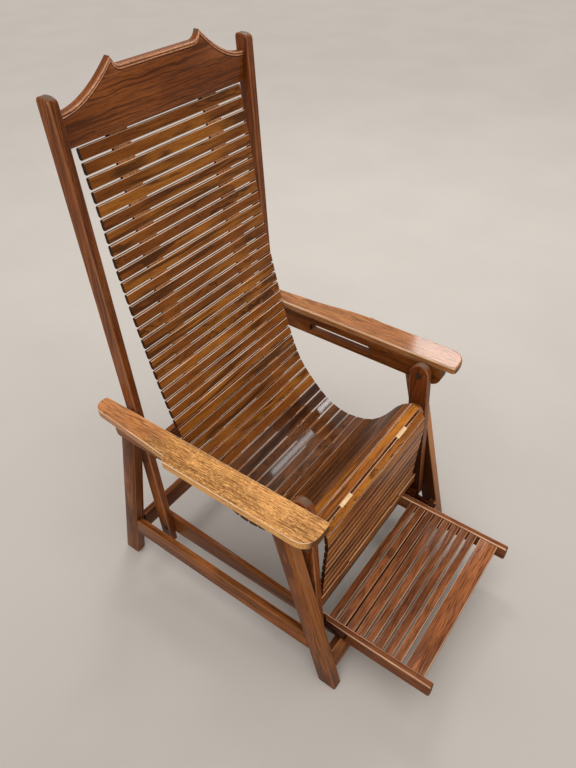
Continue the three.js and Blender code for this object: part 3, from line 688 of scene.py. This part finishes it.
def slat_mesh(name, half_wide, arris, dice):
    """A strip whose notches are rebated from behind, under a thin front skin."""
    end, edge, back, skin = SLAT_HALF, half_wide, -THICK, -SKIN
    low_edge, high_edge, behind_edge = -edge + CHAMFER, edge - CHAMFER, back + CHAMFER
    deep = -edge + BITE + SPARE_DEPTH
    spans = []
    for middle in (-TONGUE_AT, TONGUE_AT):
        low = middle - TONGUE_WIDE / 2 - dice.uniform(*NOTCH_PLAY)
        spans.append((low, middle + TONGUE_WIDE / 2 + dice.uniform(*NOTCH_PLAY)))
    rounded = [
        (-edge, -arris), (-edge + 0.3 * arris, -0.3 * arris), (-edge + arris, 0),
        (edge - arris, 0), (edge - 0.3 * arris, -0.3 * arris), (edge, -arris),
        (edge, behind_edge), (high_edge, back),
    ]
    faces = []
    for (y, z), (next_y, next_z) in zip(rounded, rounded[1:]):
        faces.append([
            (-end, y, z), (end, y, z), (end, next_y, next_z), (-end, next_y, next_z),
        ])
    upper = [(-end, -edge, -arris), (end, -edge, -arris), (end, -edge, behind_edge)]
    behind = [(-end, high_edge, back), (end, high_edge, back), (end, low_edge, back)]
    for low, high in reversed(spans):
        upper += [
            (high, -edge, behind_edge), (high, -edge, skin),
            (low, -edge, skin), (low, -edge, behind_edge),
        ]
        behind += [
            (high, low_edge, back), (high, deep, back),
            (low, deep, back), (low, low_edge, back),
        ]
        faces.append([
            (low, -edge, skin), (high, -edge, skin), (high, deep, skin), (low, deep, skin),
        ])
        faces.append([
            (low, deep, skin), (high, deep, skin), (high, deep, back), (low, deep, back),
        ])
        for x in (low, high):
            faces.append([
                (x, -edge, skin), (x, deep, skin), (x, deep, back),
                (x, low_edge, back), (x, -edge, behind_edge),
            ])
    upper.append((-end, -edge, behind_edge))
    behind.append((-end, low_edge, back))
    faces += [upper, behind]
    stops = [-end, *spans[0], *spans[1], end]
    for low, high in zip(stops[::2], stops[1::2]):
        faces.append([
            (low, -edge, behind_edge), (high, -edge, behind_edge),
            (high, low_edge, back), (low, low_edge, back),
        ])
    for x in (-end, end):
        faces.append([(x, y, z) for y, z in (*rounded, (low_edge, back), (-edge, behind_edge))])
    work = bmesh.new()
    corners = {}
    for face in faces:
        for spot in face:
            if spot not in corners:
                corners[spot] = work.verts.new(spot)
        work.faces.new([corners[spot] for spot in face])
    bmesh.ops.recalc_face_normals(work, faces=work.faces)
    mesh = bpy.data.meshes.new(name)
    work.to_mesh(mesh)
    work.free()
    return mesh


def box(work, size, place):
    made = bmesh.ops.create_cube(work, size=1)["verts"]
    sized = Matrix.Translation(place) @ Matrix.Diagonal((*size, 1))
    bmesh.ops.transform(work, matrix=sized, verts=made)


def tongue_mesh(name, half_wide, gap, sink):
    """Two tongues, each with a wider and deeper shoulder that keeps it in its notch."""
    work = bmesh.new()
    long = gap + BITE
    for middle in (-TONGUE_AT, TONGUE_AT):
        place = (middle, half_wide - LAP + long / 2, -TONGUE_DEEP - sink)
        box(work, (TONGUE_WIDE, long, TONGUE_THICK), place)
        place = (middle, half_wide - SHOULDER_LAP + long / 2, -SHOULDER_DEEP - sink)
        box(work, (TONGUE_WIDE + SHOULDER_STEP, long - 0.8, TONGUE_THICK), place)
    mesh = bpy.data.meshes.new(name)
    work.to_mesh(mesh)
    work.free()
    return mesh


def seat_frame(upper, lower):
    """Where a slat lies between two seams: across, down the sling, and out of it."""
    run = (lower - upper).normalized()
    middle = (upper + lower) / 2
    down = Vector((0, -run.x, run.y))
    out = Vector((0, run.y, run.x))
    place = at(0, middle.x, middle.y)
    return Matrix((
        (-MM, 0, 0, place.x),
        (0, down.y * MM, out.y * MM, place.y),
        (0, down.z * MM, out.z * MM, place.z),
        (0, 0, 0, 1),
    )), down, out


print("slat drawn")

# %% [markdown]
# The slats come in a random mix of tones, with a few very dark ones and a few
# with a swirling figure, as a joiner picks them from the offcuts of many
# boards. Painted shade darkens them into the seat and towards the roll, in the
# shade of the arms, and the seat is glossy from use; those that the sitter's
# legs rub, over the roll, are more golden. The back's slats step aside a little
# towards the top. The tongues lie deeper where the sling bends most, and over
# the roll one seam stands open and shows its cream tongues, pale partly as
# fresh wood and partly as a painted highlight.

# %% All the slats
BACK_SLATS = 24
VARIED, INTO_SHADE, RUBBED = range(16, 31), range(24, 31), range(43, 46)
GLOSSY, SHADED = range(30, 37), range(37, 43)
BENDING_SEAMS = (24, 27)
LOOSE_SEAM = 45
SIDE_STEP = 5
DEEPER = 1.2
SWIRLING_SHARE, DARK_SHARE = 0.14, 0.1
DARKER, SHADE_EACH = 0.35, 0.05
IN_SHADOW = -1.5


def gap_at(seam):
    """The gap between two slats: wide in the back and where the sling turns over."""
    if seam == LOOSE_SEAM:
        return 6.5
    return 3.8 if seam <= BACK_SLATS else 3 if seam < 29 else 2.3


def arris_of(index):
    return 1.2 if index < BACK_SLATS else 0.9 if index < SHADED[0] else 0.5


groups = [(f"back_slats_{n}", 4) for n in range(1, 7)]
groups += [(f"seat_slats_{n}", 3) for n in range(1, 7)]
groups += [("roll_slats_1", 5), ("fall_slats_1", 4), ("fall_slats_2", 4)]
carrier = [node for node, count in groups for _ in range(count)]
dice = random.Random(7)
for index in range(SLATS):
    node = carrier[index]
    transform, down, out = seat_frame(seams[index], seams[index + 1])
    gaps = [gap_at(index), gap_at(index + 1)]
    half_wide = (seams[index + 1] - seams[index]).length / 2 - sum(gaps) / 4
    aside = -SIDE_STEP * max(0, 1 - index / BACK_SLATS)
    transform = transform @ Matrix.Translation((aside, (gaps[0] - gaps[1]) / 4, 0))

    spread = 0.32 if index in VARIED else 0.22
    tone = dice.uniform(-spread, spread)
    figure = 0.9 if dice.random() < SWIRLING_SHARE else dice.uniform(0.1, 0.3)
    if dice.random() < DARK_SHARE:
        tone -= DARKER
    wear = 0.0
    # Painted shade: each slat is a little darker into the seat.
    if index in INTO_SHADE:
        tone -= SHADE_EACH * (index - INTO_SHADE[0] + 1)
    if index in RUBBED:
        tone, wear = 0.35 + 0.2 * dice.random(), 0.12

    name = f"sling_slat_{index + 1}"
    mesh = slat_mesh(name, half_wide, arris_of(index), dice)
    mesh.transform(transform)
    piece = bpy.data.objects.new(name, mesh)
    pith = 0.03 + 0.05 * dice.random()
    cut_from_log(piece, ACROSS, out, f"slat{index}", tone, figure, wear, pith)
    finish = seat_wood if index in GLOSSY else shade_wood if index in SHADED else slat_wood
    shown(piece, finish, node, edge=0, flat=True)

    joints = [(index + 1, transform, gaps[1])]
    if index == 0:
        joints.append((0, transform @ Matrix.Translation((0, -PITCH_MM, 0)), gaps[0]))
    for seam, joint_place, gap in joints:
        name = f"sling_tongues_{seam}"
        sink = DEEPER if seam in BENDING_SEAMS else 0
        tongues = tongue_mesh(name, half_wide, gap, sink)
        heights = [vertex.co.z + sink for vertex in tongues.vertices]
        fresh = dice.uniform(-0.5, 0.3)
        tones = iter([IN_SHADOW if z < -SHOULDER_BEGINS else fresh for z in heights])
        tongues.transform(joint_place)
        pair = bpy.data.objects.new(name, tongues)
        cut_from_log(pair, down, out, f"tongue{seam}", lambda point: next(tones), 0.1)
        finish = cream_wood if seam == LOOSE_SEAM else tongue_wood
        shown(pair, finish, body=body_of_node[node], edge=0.4)
print("slats", SLATS)

# %% [markdown]
# The arm is a paddle: narrow at the back, wider from a notch in its outer edge.
# The right arm widens more gradually. Each outline is drawn from above, cut
# into short lengths so that wear can change along it, and its edges are rounded
# more than those of other boards.

# %% Arms
ARM_TOP, ARM_THICK = 540, 17
ARM_CUTS = range(30, 540, 30)
LEFT_OUTLINE = (
    (247.5, -6, 10), (285.5, -6, 26.6), (300, 206, 5),
    (313, 215, 5), (313, 550, 38), (247.5, 550, 5),
)
RIGHT_OUTLINE = (
    (247.5, -6, 10), (285.5, -6, 26.6), (298, 170, 25),
    (313, 260, 40), (313, 550, 44), (247.5, 550, 12),
)


def smoothed(corners, steps=8):
    """Points of an outline whose corners are rounded by a parabola."""
    points = []
    count = len(corners)
    for index, (u, v, size) in enumerate(corners):
        here = Vector((u, v))
        before = Vector(corners[index - 1][:2])
        after = Vector(corners[(index + 1) % count][:2])
        first = here + (before - here).normalized() * size
        last = here + (after - here).normalized() * size
        for step in range(steps + 1):
            t = step / steps
            points.append(first.lerp(here, t).lerp(here.lerp(last, t), t))
    return points


def arm(side, hand, corners, tone, wear):
    outline = smoothed(corners)
    work = bmesh.new()
    ring = [work.verts.new(at(side * point.x, point.y, ARM_TOP)) for point in outline]
    top = work.faces.new(ring)
    pulled = bmesh.ops.extrude_face_region(work, geom=[top])
    lowered = [item for item in pulled["geom"] if isinstance(item, bmesh.types.BMVert)]
    bmesh.ops.translate(work, verts=lowered, vec=(0, 0, -ARM_THICK * MM))
    bmesh.ops.recalc_face_normals(work, faces=work.faces)
    cut_through(work, ARM_CUTS)
    name = f"{hand}_arm_board"
    mesh = bpy.data.meshes.new(name)
    work.to_mesh(mesh)
    work.free()
    piece = bpy.data.objects.new(name, mesh)
    cut_from_log(piece, ALONG, UPWARD, name, tone, 0.35, wear, pith=0.05)
    shown(piece, arm_wood, f"arm_{hand}", edge=4, steps=4)


def left_wear(point):
    return 0.1 + 0.9 * ramp(forward_of(point), 120, 270)


arm(-1, "left", LEFT_OUTLINE, tone=0.23, wear=left_wear)
arm(1, "right", RIGHT_OUTLINE, tone=-0.16, wear=0.22)
print("arms placed")

# %% [markdown]
# The crest rail is the chair's ornament: hollow shoulders sweep up to two
# cusps, with a flat stretch between them, and a bead is moulded along the top
# edge of the front face. The board has its outline from the frame, and the bead
# is a raised double line that follows it, a little lower. The bead is painted
# pale, as a painted highlight along its round.

# %% Crest rail
CREST_END, CREST_FLAT, CREST_CUSP = 1103, 1145, 1160
CREST_FRONT = 24
BEAD_SIDES, BEAD_SUNK = 8, 0.55


def parabola(start, control, end, steps=18):
    start, control, end = Vector(start), Vector(control), Vector(end)
    shares = [step / steps for step in range(steps + 1)]
    return [start.lerp(control, t).lerp(control.lerp(end, t), t) for t in shares]


def crest_line(drop):
    end, flat, cusp = (height - drop for height in (CREST_END, CREST_FLAT, CREST_CUSP))
    half = parabola((220, end), (165, end), (103, cusp))
    half += parabola((103, cusp), (97, flat), (84, flat), 10)[1:]
    return half + [Vector((-point.x, point.y)) for point in reversed(half)]


board_from(
    "crest_rail", "crest_board", ACROSS, ALONG, back_wood, BACK,
    figure=0.4, edge=0.5, pith=0.09,
)


def bead(name, drop, radius):
    """A round line along the crest's outline, half sunk in its front face."""
    line = crest_line(drop)
    work = bmesh.new()
    rings = []
    for index, point in enumerate(line):
        ahead = line[min(index + 1, len(line) - 1)] - line[max(index - 1, 0)]
        across = Vector((-ahead.y, ahead.x)).normalized()
        ring = []
        for turn in range(BEAD_SIDES):
            angle = 2 * math.pi * turn / BEAD_SIDES
            spot = point + across * radius * math.cos(angle)
            forward = CREST_FRONT - radius * BEAD_SUNK + radius * math.sin(angle)
            ring.append(work.verts.new(at(spot.x, forward, spot.y)))
        rings.append(ring)
    for first, second in zip(rings, rings[1:]):
        for turn in range(BEAD_SIDES):
            after = (turn + 1) % BEAD_SIDES
            work.faces.new((first[turn], first[after], second[after], second[turn]))
    work.faces.new(rings[0][::-1])
    work.faces.new(rings[-1])
    bmesh.ops.recalc_face_normals(work, faces=work.faces)
    mesh = bpy.data.meshes.new(name)
    work.to_mesh(mesh)
    work.free()
    piece = bpy.data.objects.new(name, mesh)
    # Painted highlight: the bead is made pale by its tone and wear.
    cut_from_log(piece, ACROSS, ALONG, name, tone=1.6, figure=0.1, wear=0.5)
    shown(piece, back_wood, body="back", edge=0)


bead("crest_upper_bead", drop=2.6, radius=1.3)
bead("crest_lower_bead", drop=6.6, radius=1.2)
print("crest placed")

# %% [markdown]
# The roll bar is turned, with a plain round tenon at each end. Its shape comes
# from the frame, and its grain runs along it. The bolts and pins stay as they
# are in the frame and only get their dark steel.

# %% Roll bar and bolts
board_from("front_roll_bar", "roll_bar_turning", ACROSS, UPWARD, back_wood, SIDE, edge=0.5)


def dark_steel():
    material = bpy.data.materials.new("dark_steel")
    material.use_nodes = True
    tree = material.node_tree
    shader = tree.nodes["Principled BSDF"]
    place = Wire(tree).node("ShaderNodeTexCoord", out="Object")
    spots = noise(place, 3, Scale=420)
    colour = mixed(spots.rises(0.4, 0.65), (0.06, 0.05, 0.042), (0.16, 0.09, 0.055))
    tree.links.new(colour.socket, shader.inputs["Base Color"])
    tree.links.new((0.38 + 0.3 * spots).socket, shader.inputs["Roughness"])
    shader.inputs["Metallic"].default_value = 0.85
    return material


steel = dark_steel()
for node in ("rear_pivot_bolt", "front_pivot_bolt", "rear_link_pin", "front_link_pin"):
    for hand in ("left", "right"):
        metal = frame["nodes"][f"{node}_{hand}"]
        metal.data.materials.clear()
        metal.data.materials.append(steel)
print("metal finished")

# %% [markdown]
# The floor is plain and pale. It is a little darker near the camera, as painted
# shade, a faint cloudiness keeps it from looking like paper, and it carries the
# chair's soft shadow.

# %% Floor
REACH = 14
UNDER_THE_FEET = 0.0005
AWAY_FROM_CAMERA = (0.8, 0.6, 0)
floor_mesh = bpy.data.meshes.new("floor")
floor_corners = [(-REACH, -REACH, 0), (REACH, -REACH, 0), (REACH, REACH, 0), (-REACH, REACH, 0)]
floor_mesh.from_pydata(floor_corners, [], [(0, 1, 2, 3)])
floor = bpy.data.objects.new("floor", floor_mesh)
floor.location.z = -UNDER_THE_FEET
bpy.context.collection.objects.link(floor)
floor_finish = bpy.data.materials.new("pale_floor")
floor_finish.use_nodes = True
tree = floor_finish.node_tree
place = Wire(tree).node("ShaderNodeTexCoord", out="Object")
cloud = noise(place, 5, Scale=2.2)
away = agreement(place, AWAY_FROM_CAMERA)
# Painted shade: darker towards the camera.
colour = mixed(away.rises(-1.4, 1.6), (0.48, 0.448, 0.416), (0.565, 0.525, 0.485))
colour = mixed(cloud.rises(0.3, 0.7) * 0.12, colour, (0.35, 0.32, 0.29))
shader = tree.nodes["Principled BSDF"]
tree.links.new(colour.socket, shader.inputs["Base Color"])
shader.inputs["Roughness"].default_value = 0.75
floor_mesh.materials.append(floor_finish)
print("floor laid")

# %% [markdown]
# The hall has a pale ceiling with rows of lamps. An even pale world stands for
# the ceiling and walls, and a sun as broad as the ceiling gives the soft shadow.
# A far panel brightens the slats, a smaller one shines on the right arm's front
# end, and two narrow tubes leave their streaks on the varnished seat.

# %% Light
world = bpy.context.scene.world or bpy.data.worlds.new("hall")
bpy.context.scene.world = world
world.use_nodes = True
backdrop = world.node_tree.nodes["Background"]
backdrop.inputs["Color"].default_value = (1, 0.97, 0.93, 1)
backdrop.inputs["Strength"].default_value = 0.43


def aimed(name, lamp_data, place, direction):
    lamp = bpy.data.objects.new(name, lamp_data)
    lamp.location = place
    lamp.rotation_euler = Vector(direction).to_track_quat("-Z", "Y").to_euler()
    bpy.context.collection.objects.link(lamp)


def panel(name, place, target, wide, deep, power):
    data = bpy.data.lights.new(name, "AREA")
    data.shape = "RECTANGLE"
    data.size, data.size_y = wide, deep
    data.energy = power
    aimed(name, data, place, Vector(target) - Vector(place))


ceiling = bpy.data.lights.new("ceiling_light", "SUN")
ceiling.angle = math.radians(70)
ceiling.energy = 1.95
ceiling.color = (1, 0.975, 0.94)
aimed("ceiling_light", ceiling, (0, 0, 0), (0.32, 0.22, -1))
panel("far_panel", (1.75, 1.15, 2.6), (0, 0, 0.4), wide=0.9, deep=0.35, power=16)
panel("arm_panel", (2.83, 0.75, 2.6), (0.28, -0.14, 0.54), wide=0.42, deep=0.34, power=5.2)
panel("near_tube", (1.6, -0.35, 2.6), (1.6, -0.35, 0), wide=0.6, deep=0.03, power=0.65)
panel("side_tube", (2.27, -1.24, 2.6), (2.27, -1.24, 0), wide=0.24, deep=0.035, power=0.6)
bpy.context.scene.view_settings.view_transform = "Standard"
print("lights set")
